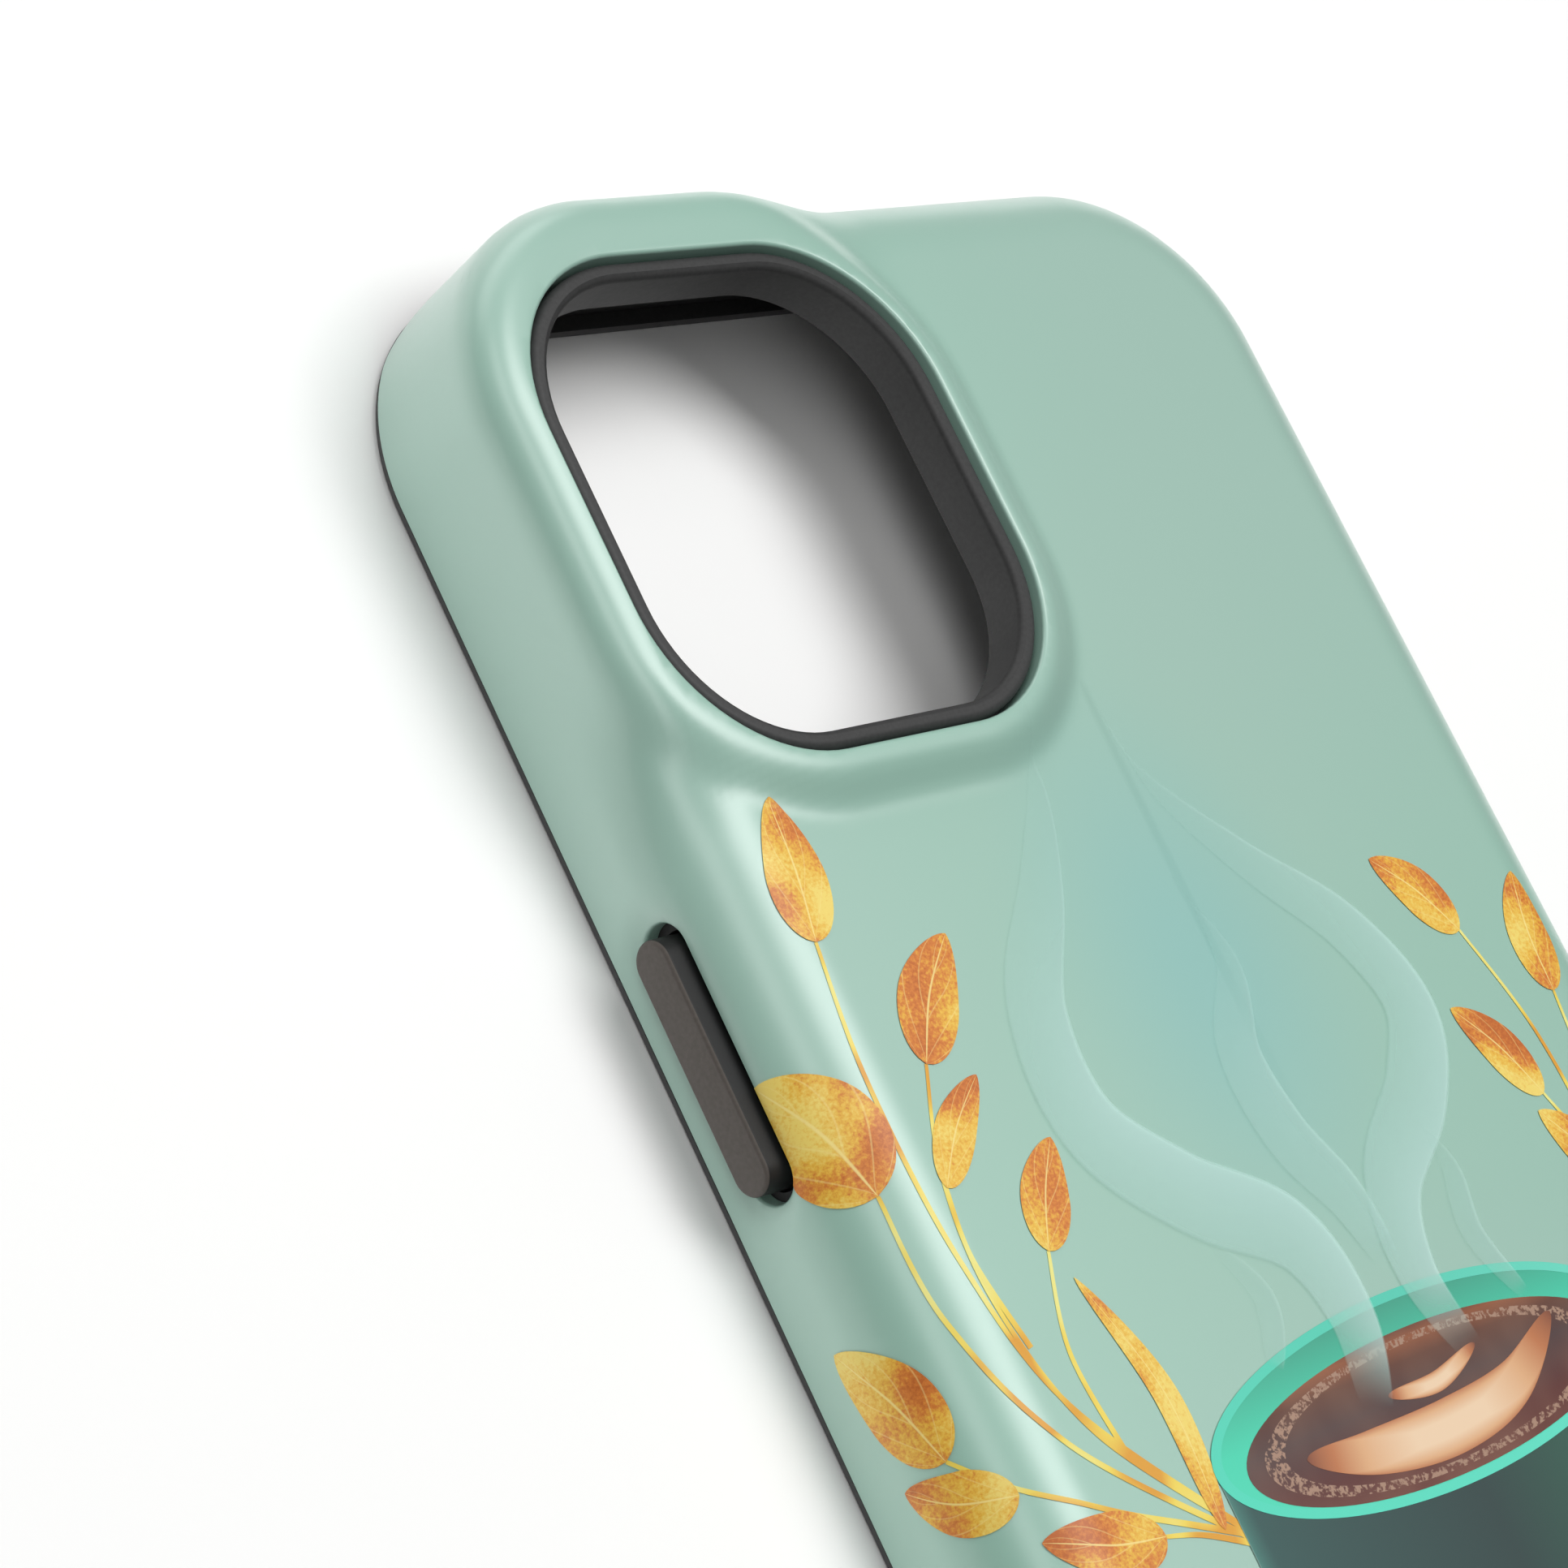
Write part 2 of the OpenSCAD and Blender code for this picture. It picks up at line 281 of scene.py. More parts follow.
def seam_height(x):
    """Height of the seam at the two ends: low at the corners, a crest, and a saddle in the middle."""
    x = abs(x)
    if x > crest_x:
        return seam_z + (crest_z - seam_z) * smooth((rise_x - x) / (rise_x - crest_x))
    return saddle_z + (crest_z - saddle_z) * smooth((x - saddle_x) / (crest_x - saddle_x))


def seam_block(drop):
    """Everything in front of the seam, less a drop."""
    bm = bmesh.new()
    bmesh.ops.create_grid(bm, x_segments=seam_columns, y_segments=1, size=1)
    bmesh.ops.scale(bm, vec=(half_w + past, half_l + past, 1), verts=bm.verts)
    for vert in bm.verts:
        vert.co.z = seam_height(vert.co.x) - drop
    under = bmesh.ops.extrude_face_region(bm, geom=bm.faces[:])["geom"]
    for vert in (v for v in under if isinstance(v, bmesh.types.BMVert)):
        vert.co.z = -past
    bmesh.ops.recalc_face_normals(bm, faces=bm.faces)
    return add_piece("seam_block", bm)


def wall_openings(bm, bottom):
    """Cutters for the ring switch, the charging port and the speaker and microphone openings."""
    tower(bm, [(bottom, 0), (half_w + past, 0)], switch_half_l, switch_half_w, switch_r,
          on_side(1, switch_y, middle_z))
    tower(bm, rounded_mouth(bottom, half_l), port_half_l, port_half_h, port_half_h,
          in_bottom_end(0, middle_z))
    for side in (-1, 1):
        tower(bm, rounded_mouth(bottom, half_l), sound_half_l, sound_half_h, sound_half_h,
              in_bottom_end(side * sound_x, middle_z))


bm = bmesh.new()
count_x = 2 * (side_cells + across_cells)
count_y = 2 * (side_cells + along_cells)
bmesh.ops.create_grid(bm, x_segments=count_x, y_segments=count_y, size=1)
for vert in bm.verts:
    column = round((vert.co.x + 1) / 2 * count_x) - count_x // 2
    row = round((vert.co.y + 1) / 2 * count_y) - count_y // 2
    ring = min(count_x // 2 - abs(column), count_y // 2 - abs(row))
    across = column / max(count_x // 2 - ring, 1)
    along = row / (count_y // 2 - ring)
    run = run_flat * min(ring / side_cells, 1)
    run += (half_w - edge_r) * max(ring - side_cells, 0) / across_cells
    inset = section(run, back_z, edge_r)[0]
    share = collar_share(*outline(inset, across, along), inset)
    inset, z = raised_section(run, share)
    x, y = outline(inset, across, along)
    if abs(across) >= abs(along) and z < back_z:
        x = math.copysign(half_w - dished(across, y, z, half_w - abs(x)), across)
    vert.co = (x, y, z)
bmesh.ops.holes_fill(bm, edges=[edge for edge in bm.edges if edge.is_boundary])
bmesh.ops.recalc_face_normals(bm, faces=bm.faces)
shell = add_piece("shell_moulding", bm)

bm = bmesh.new()
edge_steps = 8
rounding = [(cavity_z - cavity_edge_r + cavity_edge_r * math.sin(math.pi / 2 * step / edge_steps),
             -cavity_edge_r * (1 - math.cos(math.pi / 2 * step / edge_steps)))
            for step in range(edge_steps + 1)]
tower(bm, [(-past, 0)] + rounding, cavity_half_w, cavity_half_l, cavity_r, corner_steps=16)
boolean(shell, add_piece("cavity", bm), "DIFFERENCE")
boolean(shell, seam_block(0), "DIFFERENCE")

bm = bmesh.new()
tower(bm, rounded_mouth(middle_z, rim_z), camera_w / 2, camera_l / 2, camera_r,
      upright(camera_x, camera_y), corner_steps=20)
for low, high in button_boxes:
    slot_half_l = (high.y - low.y) / 2 - button_flange + slot_end_gap
    slot_levels = rounded_mouth(cutter_foot, half_w - dish_depth, lean=math.atan(dish_depth / dish_w))
    tower(bm, slot_levels, slot_half_l, slot_half_w, slot_half_w,
          on_side(math.copysign(1, low.x), (low.y + high.y) / 2, middle_z), corner_steps=12)
wall_openings(bm, cutter_foot)
boolean(shell, add_piece("shell_cutters", bm), "DIFFERENCE")
bm = bmesh.new()
tower(bm, rounded_mouth(half_w - recess_depth, half_w), switch_half_l + recess_w, switch_half_w + recess_w,
      switch_r + recess_w, on_side(1, switch_y, middle_z))
boolean(shell, add_piece("recess_cutter", bm), "DIFFERENCE")
shade(shell.data)


def colour(code):
    """A colour given as sRGB hex, as the linear values that a shader takes."""
    values = [int(code[i:i + 2], 16) / 255 for i in (1, 3, 5)]
    return [v / 12.92 if v <= 0.04045 else ((v + 0.055) / 1.055) ** 2.4 for v in values] + [1.0]


def node(tree, kind, inputs=None, stops=(), **settings):
    """Adds a shader node with its settings. An input that is a socket is linked, and any other is set.
    A colour ramp also takes its stops, each a place and a hex colour."""
    added = tree.nodes.new(kind)
    for name, value in settings.items():
        setattr(added, name, value)
    for name, value in (inputs or {}).items():
        if isinstance(value, bpy.types.NodeSocket):
            tree.links.new(value, added.inputs[name])
        else:
            added.inputs[name].default_value = value
    for place, _ in stops[1:-1]:
        added.color_ramp.elements.new(place)
    for index, (place, code) in enumerate(stops):
        element = added.color_ramp.elements[index if index < len(stops) - 1 else -1]
        element.position = place
        element.color = colour(code)
    return added


def finish(name, piece, surface, **shader):
    """A new material on a piece. surface adds its nodes and returns the shader's linked inputs."""
    material = bpy.data.materials.new(name)
    material.use_nodes = True
    tree = material.node_tree
    tree.nodes.clear()
    linked = surface(tree, node(tree, "ShaderNodeTexCoord"))
    inputs = {key.replace("_", " "): value for key, value in shader.items()}
    bsdf = node(tree, "ShaderNodeBsdfPrincipled", {**inputs, **linked})
    node(tree, "ShaderNodeOutputMaterial", {"Surface": bsdf.outputs["BSDF"]})
    piece.data.materials.clear()
    piece.data.materials.append(material)


sage = "#9ABDAF"
sage_green = "#94BEAD"
sage_blue = "#83BAB5"
tint_size = 60 * MM
haze_centre = (-2 * MM, 17 * MM, back_z)
haze_half = (17 * MM, 24 * MM, 30 * MM)
grain_size = 0.35 * MM  # about 0.1 mm on the real shell, and drawn coarser so that it shows
grain_depth = 0.05 * MM


def printed_sage(tree, where):
    """Satin printed polycarbonate: an even sage green with a slow drift in hue, and a very fine grain."""
    drift = node(tree, "ShaderNodeTexNoise", {"Vector": where.outputs["Object"], "Scale": 1 / tint_size,
                                              "Detail": 1.0, "Roughness": 0.4})
    base = node(tree, "ShaderNodeValToRGB", {"Fac": drift.outputs["Fac"]},
                stops=[(0.35, sage_green), (0.65, sage)])
    centred = node(tree, "ShaderNodeMapping", {"Vector": where.outputs["Object"], "Location": haze_centre,
                                               "Scale": haze_half}, vector_type="TEXTURE")
    haze = node(tree, "ShaderNodeTexGradient", {"Vector": centred.outputs["Vector"]},
                gradient_type="SPHERICAL")
    soft = node(tree, "ShaderNodeMapRange", {"Value": haze.outputs["Fac"], "To Max": 0.75},
                interpolation_type="SMOOTHSTEP")
    tinted = node(tree, "ShaderNodeMix", {0: soft.outputs["Result"], 6: base.outputs["Color"],
                                          7: colour(sage_blue)}, data_type="RGBA")
    grain = node(tree, "ShaderNodeTexNoise", {"Vector": where.outputs["Object"], "Scale": 1 / grain_size,
                                              "Detail": 2.0})
    bump = node(tree, "ShaderNodeBump", {"Height": grain.outputs["Fac"], "Strength": 0.06,
                                         "Distance": grain_depth})
    gloss = node(tree, "ShaderNodeMapRange", {"Value": grain.outputs["Fac"], "To Min": 0.36,
                                              "To Max": 0.44})
    return {"Base Color": tinted.outputs[2], "Normal": bump.outputs["Normal"],
            "Roughness": gloss.outputs["Result"]}


finish("printed_satin_polycarbonate", shell, printed_sage, IOR=1.58, Coat_Weight=1.0, Coat_Roughness=0.33,
       Coat_IOR=1.55)
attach(shell, "case")
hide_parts("outer_shell")


# Soft liner. The inner half: a tray moulded in matt charcoal thermoplastic polyurethane that grips the
# phone. It shows as the lip round the open front, the waved band at both ends, a thin flange under the
# shell's long edges, and the ring that lines the camera opening.
liner_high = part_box("inner_liner")[1]
ring_z = liner_high.z
flange_step = half_w - liner_high.x
seam_gap = 0.2 * MM
liner_gap = 0.1 * MM
liner_wall = 1.5 * MM
liner_back = 1.0 * MM
liner_z = cavity_z - liner_gap
pocket_z = liner_z - liner_back
pocket_half_w = cavity_half_w - liner_gap - liner_wall
pocket_half_l = cavity_half_l - liner_gap - liner_wall
pocket_r = cavity_r - liner_gap - liner_wall
pocket_edge_r = 3.0 * MM
lip_z = 1.0 * MM
lip_reach = 1.2 * MM
lip_round = 0.35 * MM
tray_foot = 0.5 * MM
ring_gap = 0.25 * MM
ring_wall = 1.3 * MM
ring_round = 0.55 * MM
button_gap = 0.2 * MM
hole_foot = pocket_half_w - MM
relief_depth = 0.8 * MM
relief_x = pocket_half_w + relief_depth


def round_edge(height, radius, steps, up=1):
    """Levels that round the rim of a tower at its top, or at its bottom where up is -1."""
    turns = [math.pi / 2 * step / steps for step in range(steps + 1)]
    levels = [(height - up * radius * (1 - math.sin(t)), -radius * (1 - math.cos(t))) for t in turns]
    return levels if up > 0 else levels[::-1]


def flared_mouth(height, radius, steps, up=1):
    """Levels of a cutter that leaves a rounded lip where it comes out at its top, or bottom if up is -1."""
    turns = [math.pi / 2 * step / steps for step in range(steps)]
    levels = [(height - up * radius * (1 - math.sin(t)), radius * (1 - math.cos(t))) for t in turns]
    levels += [(height + up * radius, 2 * radius), (height + up * past, 2 * radius)]
    return levels if up > 0 else levels[::-1]


bm = bmesh.new()
band_half_w = half_w - flange_step
band_half_l = half_l - flange_step
tower(bm, round_edge(0, lip_round, 4, -1) + round_edge(back_z - flange_step, edge_r - flange_step, 20),
      band_half_w, band_half_l, corner_r - flange_step, corner_steps=24)
liner = add_piece("liner_moulding", bm)
boolean(liner, seam_block(seam_gap), "INTERSECT")
bm = bmesh.new()
tower(bm, [(tray_foot, 0)] + round_edge(liner_z, cavity_edge_r - liner_gap, 8), cavity_half_w - liner_gap,
      cavity_half_l - liner_gap, cavity_r - liner_gap, corner_steps=16)
boolean(liner, add_piece("tray", bm), "UNION")
bm = bmesh.new()
tower(bm, [(pocket_z, 0)] + round_edge(ring_z, ring_round, 6), camera_w / 2 - ring_gap,
      camera_l / 2 - ring_gap, camera_r - ring_gap, upright(camera_x, camera_y), corner_steps=20)
boolean(liner, add_piece("camera_ring", bm), "UNION")
bm = bmesh.new()
tower(bm, [(lip_z, 0)] + round_edge(pocket_z, pocket_edge_r, 8), pocket_half_w, pocket_half_l, pocket_r,
      corner_steps=16)
boolean(liner, add_piece("pocket", bm), "DIFFERENCE")
bm = bmesh.new()
tower(bm, flared_mouth(0, lip_round, 5, -1) + [(lip_z + past, 0)], pocket_half_w - lip_reach,
      pocket_half_l - lip_reach, pocket_r - lip_reach, corner_steps=16)
boolean(liner, add_piece("front_aperture", bm), "DIFFERENCE")
bm = bmesh.new()
ring_in = ring_gap + ring_wall
tower(bm, [(middle_z, 0)] + flared_mouth(ring_z, ring_round, 5), camera_w / 2 - ring_in,
      camera_l / 2 - ring_in, camera_r - ring_in, upright(camera_x, camera_y), corner_steps=20)
for low, high in button_boxes:
    hole_half_l = (high.y - low.y) / 2 - button_flange + button_gap
    hole_half_w = (high.z - low.z) / 2 - button_flange + button_gap
    place = on_side(math.copysign(1, low.x), (low.y + high.y) / 2, middle_z)
    tower(bm, [(hole_foot, button_flange), (relief_x, button_flange), (relief_x, 0), (half_w, 0)],
          hole_half_l, hole_half_w, hole_half_w, place)
wall_openings(bm, hole_foot)
boolean(liner, add_piece("liner_cutters", bm), "DIFFERENCE")
shade(liner.data)

charcoal = "#333333"
charcoal_light = "#3A3A3A"
mould_grain = 0.3 * MM  # twice as coarse as the real spark-eroded grain, so that it shows


def matt_rubber(tree, where):
    """Matt moulded TPU: nearly black grey, with the fine spark-eroded grain of its tool."""
    grain = node(tree, "ShaderNodeTexNoise", {"Vector": where.outputs["Object"], "Scale": 1 / mould_grain,
                                              "Detail": 3.0})
    base = node(tree, "ShaderNodeValToRGB", {"Fac": grain.outputs["Fac"]},
                stops=[(0.3, charcoal), (0.7, charcoal_light)])
    bump = node(tree, "ShaderNodeBump", {"Height": grain.outputs["Fac"], "Strength": 0.12,
                                         "Distance": grain_depth})
    return {"Base Color": base.outputs["Color"], "Normal": bump.outputs["Normal"]}


finish("moulded_matt_tpu", liner, matt_rubber, Roughness=0.55, IOR=1.5, Specular_IOR_Level=0.35)
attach(liner, "case")
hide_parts("inner_liner")


# Buttons. Three pill-shaped push buttons in the same soft TPU as the liner: one long one on the side
# button's side and two shorter ones for the volume. Their faces are printed in a warm taupe grey, and
# the flange inside the liner keeps each one from falling out.
flange_t = 0.6 * MM
face_round = 0.32 * MM
taupe = "#504B46"
taupe_light = "#57514D"
# Painted shade: the buttons' sides are painted darker than the liner's charcoal, for the shade that falls
# on them.
stem_black_painted_shade = "#202020"
face_line = 0.22 * MM
ink_fade = 0.06 * MM


def button_skin(tree, where):
    """Printed face over TPU: the taupe ink ends in a fine line at the face's edge. The sides are painted
    darker than the liner's TPU, as painted shade.
    """
    grain = node(tree, "ShaderNodeTexNoise", {"Vector": where.outputs["Object"], "Scale": 1 / mould_grain,
                                              "Detail": 3.0})
    face = node(tree, "ShaderNodeValToRGB", {"Fac": grain.outputs["Fac"]},
                stops=[(0.3, taupe), (0.7, taupe_light)])
    apart = node(tree, "ShaderNodeSeparateXYZ", {"Vector": where.outputs["Object"]})
    out = node(tree, "ShaderNodeMath", {0: apart.outputs["X"]}, operation="ABSOLUTE")
    inked = node(tree, "ShaderNodeMapRange", {"Value": out.outputs["Value"],
                                              "From Min": button_face_x - face_line,
                                              "From Max": button_face_x - face_line + ink_fade})
    base = node(tree, "ShaderNodeMix", {0: inked.outputs["Result"], 6: colour(stem_black_painted_shade),
                                        7: face.outputs["Color"]}, data_type="RGBA")
    bump = node(tree, "ShaderNodeBump", {"Height": grain.outputs["Fac"], "Strength": 0.1,
                                         "Distance": grain_depth})
    return {"Base Color": base.outputs[2], "Normal": bump.outputs["Normal"]}


button_face_x = button_boxes[1][1].x
for node_name, body, (low, high) in zip(("side_button", "volume_up_button", "volume_down_button"),
                                        ("side_key", "volume_up_key", "volume_down_key"), button_boxes):
    side = math.copysign(1, low.x)
    inner_x = min(abs(low.x), abs(high.x))
    face_half_l = (high.y - low.y) / 2 - button_flange
    face_half_w = (high.z - low.z) / 2 - button_flange
    bm = bmesh.new()
    tower(bm, [(inner_x, button_flange), (inner_x + flange_t, button_flange), (inner_x + flange_t, 0)]
          + round_edge(button_face_x, face_round, 6), face_half_l, face_half_w, face_half_w,
          on_side(side, (low.y + high.y) / 2, middle_z), corner_steps=14)
    button = add_piece(node_name + "_moulding", bm)
    finish("printed_soft_tpu_painted_shade", button, button_skin, Roughness=0.5, IOR=1.5, Specular_IOR_Level=0.2)
    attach(button, body)
    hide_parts(node_name)


# Printed leaves and stems. Ink on the shell's back: two plain sprigs of pointed leaves in mottled gold
# and burnt orange, with pale midribs. Each is a film that follows the shell a hair above its skin.
# Places in print are in mm over the skin, from the middle of the back.
ink = 0.03 * MM
probe = 0.05 * MM
slot_lip = 0.16 * MM
leaf_tip = 0.03
leaf_fullest = 0.8
leaf_full = 0.9
stem_root = 0.24
stem_tip = 0.13


def on_skin(across, along, lift=ink):
    """A place on the shell's skin. across and along are measured over it from the middle of the back."""
    def bare(over, up):
        run = run_flat + half_w - edge_r - abs(over)
        inset = section(run, back_z, edge_r)[0]
        share = collar_share(math.copysign(half_w - inset, over), up, inset)
        inset, z = raised_section(run, share)
        if z < back_z:
            inset = dished(math.copysign(1, over), up, z, inset)
        return Vector((math.copysign(half_w - inset, over), up, z))
    here = bare(across, along)
    normal = (bare(across + probe, along) - bare(across - probe, along)).cross(
        bare(across, along + probe) - bare(across, along - probe)).normalized()
    return here + normal * lift


def clear_of_slots(across, along):
    """A place on the skin, moved in towards the back where it would hang over a button slot."""
    for low, high in button_boxes:
        run = (high.y - low.y) / 2 - button_flange + slot_end_gap - slot_half_w
        past_end = max(abs(along - (low.y + high.y) / 2) - run, 0.0)
        keep = slot_half_w + slot_lip
        if low.x * across > 0 and past_end < keep:
            edge = run_flat + half_w - edge_r - middle_z - math.sqrt(keep ** 2 - past_end ** 2)
            across = math.copysign(min(abs(across), edge), across)
    return across, along


def film(bm, columns, rows, place, lift=ink):
    """A printed film: a grid whose place(u, v), both from -1 to 1, is where it lies on the skin, in mm.
    It stops at the lip of a button slot: what would hang over the slot is drawn in and then cut off."""
    uv = bm.loops.layers.uv.verify()
    verts = bmesh.ops.create_grid(bm, x_segments=columns, y_segments=rows, size=1)["verts"]
    at = {vert: (vert.co.x, vert.co.y) for vert in verts}
    faces = {face for vert in verts for face in vert.link_faces}
    for face in faces:
        for loop in face.loops:
            loop[uv].uv = [(value + 1) / 2 for value in at[loop.vert]]
    held = set()
    for vert, (u, v) in at.items():
        wanted = tuple(value * MM for value in place(u, v))
        across, along = clear_of_slots(*wanted)
        if across != wanted[0]:
            held.add(vert)
        vert.co = on_skin(across, along, lift)
    bmesh.ops.delete(bm, geom=[face for face in faces if held.issuperset(face.verts)], context="FACES")


def curve_point(points, share):
    """A point and its direction on a smooth curve through a few points."""
    spans = len(points) - 1
    at = min(max(share, 0.0), 0.99999) * spans
    span = int(at)
    t = at - span
    before, start, end, after = (Vector(points[min(max(span + k, 0), spans)]) for k in (-1, 0, 1, 2))
    place = 0.5 * (2 * start + (end - before) * t + (2 * before - 5 * start + 4 * end - after) * t ** 2
                   + (3 * start - before - 3 * end + after) * t ** 3)
    way = 0.5 * ((end - before) + 2 * (2 * before - 5 * start + 4 * end - after) * t
                 + 3 * (3 * start - before - 3 * end + after) * t ** 2)
    return place, way.normalized()


def ribbon(points, width):
    """A band along a curve. width gives its half width at a share of its length."""
    def place(u, v):
        share = (v + 1) / 2
        middle, way = curve_point(points, share)
        return middle + Vector((way.y, -way.x)) * (u * width(share))
    return place


def leaf(base, tip, half, bend):
    """A pointed leaf from base to tip, with its half width and how far its midrib bows out."""
    base, tip = Vector(base), Vector(tip)
    bow = Vector((tip.y - base.y, base.x - tip.x)).normalized() * bend
    middle = [base, (base + tip) / 2 + bow, tip]
    return ribbon(middle, lambda s: leaf_tip + half * math.sin(math.pi * s ** leaf_fullest) ** leaf_full)


sprig_leaves = [
    ((-33.0, 25.0), (-31.5, 34.5), 2.3, 0.3), ((-29.0, 16.0), (-22.5, 23.5), 2.3, -0.5),
    ((-32.0, 8.5), (-25.5, 14.5), 1.5, -0.4), ((-26.5, 3.0), (-22.0, 9.5), 1.9, -0.3),
    ((-36.5, 9.5), (-40.5, 18.5), 3.6, 0.6), ((-39.5, -6.0), (-43.5, 2.5), 2.5, 0.5),
    ((-36.5, -9.5), (-43.0, -6.5), 1.9, -0.5), ((-28.0, -15.0), (-36.5, -12.5), 2.0, -0.5),
    ((-23.2, -16.0), (-25.5, 1.0), 1.1, 1.6),
    ((24.5, 14.5), (19.0, 21.0), 2.1, 0.5), ((24.5, 2.0), (19.5, 9.5), 2.0, 0.5),
    ((31.0, 8.5), (33.0, 17.5), 2.2, -0.5), ((27.5, -6.0), (23.0, 1.0), 2.0, 0.4),
    ((33.5, -3.5), (37.5, 4.5), 2.1, -0.4)]
sprig_stems = [
    [(-33.0, 25.0), (-34.0, 16.0), (-33.5, 4.0), (-30.5, -6.0), (-21.0, -17.0)],
    [(-29.0, 16.0), (-32.0, 9.0), (-32.5, 1.0), (-29.5, -8.0), (-21.0, -17.0)],
    [(-32.0, 8.5), (-32.6, 4.0), (-31.4, -2.0)],
    [(-26.5, 3.0), (-28.6, -3.0), (-28.0, -9.5)],
    [(-36.5, 9.5), (-36.0, 1.0), (-32.0, -8.0), (-21.0, -17.4)],
    [(-39.5, -6.0), (-36.0, -9.5), (-31.0, -12.5), (-25.5, -15.0), (-21.0, -17.0)],
    [(-28.0, -15.0), (-25.0, -15.8), (-21.0, -17.6)],
    [(24.5, 14.5), (27.0, 6.0), (27.0, -4.0), (24.0, -14.0)],
    [(24.5, 2.0), (26.2, -3.0), (25.5, -10.0)],
    [(31.0, 8.5), (29.5, 0.0), (27.0, -8.0), (24.0, -14.0)],
    [(33.5, -3.5), (30.0, -8.0), (24.0, -14.0)]]

bm = bmesh.new()
for base, tip, half, bend in sprig_leaves:
    film(bm, 14, 30, leaf(base, tip, half, bend), lift=2 * ink)
leaves = add_piece("printed_leaves", bm)
bm = bmesh.new()
for number, points in enumerate(sprig_stems):
    film(bm, 2, 16 * (len(points) - 1), ribbon(points, lambda s: stem_tip + (stem_root - stem_tip) * s),
         lift=ink * (1 + number / 16))
stems = add_piece("printed_stems", bm)

gold = "#E3B23C"
pale_gold = "#EAD06A"
orange = "#D07A2C"
rust = "#B9601F"
rib_gold = "#F0DC8C"
stipple_size = 0.28 * MM  # drawn about twice as coarse as printed dots, so that it shows
patch_size = 5.0 * MM
# Shares of a leaf's width, and of its length for the spacing of its veins.
rib_width = (0.008, 0.022)
vein_slant = 1.1
vein_spacing = 0.16
vein_width = (0.006, 0.016)


def mottled_gold(tree, where):
    """Gold and orange ink with the coarse stipple of a painted canvas, and a pale midrib and veins."""
    patch = node(tree, "ShaderNodeTexNoise", {"Vector": where.outputs["Object"], "Scale": 1 / patch_size,
                                              "Detail": 1.0})
    stipple = node(tree, "ShaderNodeTexNoise", {"Vector": where.outputs["Object"],
                                                "Scale": 1 / stipple_size, "Detail": 2.0,
                                                "Roughness": 0.7})
    both = node(tree, "ShaderNodeMix", {0: 0.34, 2: patch.outputs["Fac"], 3: stipple.outputs["Fac"]})
    base = node(tree, "ShaderNodeValToRGB", {"Fac": both.outputs[0]},
                stops=[(0.34, rust), (0.43, orange), (0.53, gold), (0.64, pale_gold)])
    apart = node(tree, "ShaderNodeSeparateXYZ", {"Vector": where.outputs["UV"]})
    off_rib = node(tree, "ShaderNodeMath", {0: apart.outputs["X"], 1: 0.5}, operation="SUBTRACT")
    off_rib = node(tree, "ShaderNodeMath", {0: off_rib.outputs["Value"]}, operation="ABSOLUTE")
    rib = node(tree, "ShaderNodeMapRange", {"Value": off_rib.outputs["Value"], "From Min": rib_width[0],
                                            "From Max": rib_width[1], "To Min": 0.8, "To Max": 0.0})
    slant = node(tree, "ShaderNodeMath", {0: off_rib.outputs["Value"], 1: -vein_slant,
                                          2: apart.outputs["Y"]}, operation="MULTIPLY_ADD")
    repeat = node(tree, "ShaderNodeMath", {0: slant.outputs["Value"], 1: vein_spacing},
                  operation="PINGPONG")
    vein = node(tree, "ShaderNodeMapRange", {"Value": repeat.outputs["Value"], "From Min": vein_width[0],
                                             "From Max": vein_width[1], "To Min": 0.35, "To Max": 0.0})
    lines = node(tree, "ShaderNodeMath", {0: rib.outputs["Result"], 1: vein.outputs["Result"]},
                 operation="MAXIMUM")
    veined = node(tree, "ShaderNodeMix", {0: lines.outputs["Value"], 6: base.outputs["Color"],
                                          7: colour(rib_gold)}, data_type="RGBA")
    bump = node(tree, "ShaderNodeBump", {"Height": stipple.outputs["Fac"], "Strength": 0.08,
                                         "Distance": grain_depth})
    return {"Base Color": veined.outputs[2], "Normal": bump.outputs["Normal"]}


def stem_gold(tree, where):
    """Yellow ink that darkens to ochre in places along a stem."""
    patch = node(tree, "ShaderNodeTexNoise", {"Vector": where.outputs["Object"], "Scale": 1 / patch_size,
                                              "Detail": 1.0})
    ochre = node(tree, "ShaderNodeValToRGB", {"Fac": patch.outputs["Fac"]},
                 stops=[(0.38, "#D99A2E"), (0.5, "#E8CF55"), (0.65, "#E6E085")])
    return {"Base Color": ochre.outputs["Color"]}


finish("gold_leaf_ink", leaves, mottled_gold, Roughness=0.45)
finish("gold_stem_ink", stems, stem_gold, Roughness=0.45)
for print_layer in (leaves, stems):
    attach(print_layer, "case")


# Printed cup. Ink again: a plain cup seen from a little above, with a dark slate body, a turquoise
# handle, rim and inside, and coffee with two strokes of milk.
cup_y = -13.0
rim_half_w = 22.0
rim_half_h = 6.5
rim_band = 0.9
band_tilt = 0.7
tuck = 0.1
cup_foot_y = -47.0
foot_half_w = 15.0
foot_bow = 0.5
rim_overlap = 0.98
waist_at = 0.35
waist_curve = 1.6
handle_half = 1.7
milk_half = 1.75
drop_half = 0.6
stroke_end = 0.05
stroke_fullness = 0.7
coffee_half_w = 19.4
coffee_half_h = 4.9
coffee_drop = 0.9


def ring_place(outer_w, outer_h, inner_w, inner_h, drop=0.0):
    """An elliptical band round the cup's mouth."""
    def place(u, v):
        mix = (v + 1) / 2
        turn = -math.pi * u
        return ((inner_w + (outer_w - inner_w) * mix) * math.sin(turn),
                cup_y - drop - (inner_h + (outer_h - inner_h) * mix) * math.cos(turn))
    return place


